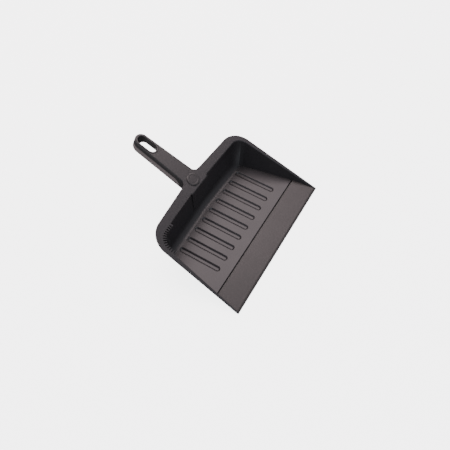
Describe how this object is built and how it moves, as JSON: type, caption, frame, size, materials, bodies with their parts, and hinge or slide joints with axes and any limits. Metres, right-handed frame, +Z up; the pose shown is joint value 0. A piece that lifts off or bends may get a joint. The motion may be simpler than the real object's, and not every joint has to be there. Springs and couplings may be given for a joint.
{
  "type": "dustpan",
  "caption": "Hand dustpan with a channelled floor, a raised rim with a comb at one back corner, a ramp lip and a hollow handle with a hang slot.",
  "frame": {"origin": "on the ground, under the middle of the object's outline seen from above", "axes": "+Z up, +Y from the front lip towards the handle's tip, +X along the front lip, to the left of someone who holds the handle and looks towards the lip"},
  "size_m": [0.311, 0.3158, 0.1323],
  "materials": {
    "tray_plastic": "satin moulded charcoal plastic",
    "lip_plastic": "smooth charcoal plastic, a little warmer than the tray",
    "handle_plastic": "satin moulded charcoal plastic",
    "shell_plastic": "matte charcoal plastic, a little lighter than the tray",
    "eyelet_plastic": "semi-gloss charcoal plastic",
    "cap_plastic": "satin moulded charcoal plastic",
    "zinc_steel": "bright zinc plate"
  },
  "bodies": {
    "root": {"pan_tray": "tray_plastic", "front_lip": "lip_plastic", "handle_upper_shell": "handle_plastic", "handle_lower_shell": "shell_plastic", "slot_eyelet": "eyelet_plastic", "roundel_cap": "cap_plastic", "root_screw": "zinc_steel", "root_washer": "zinc_steel", "root_nut": "zinc_steel", "shell_screws": "zinc_steel"}
  },
  "joints": []
}
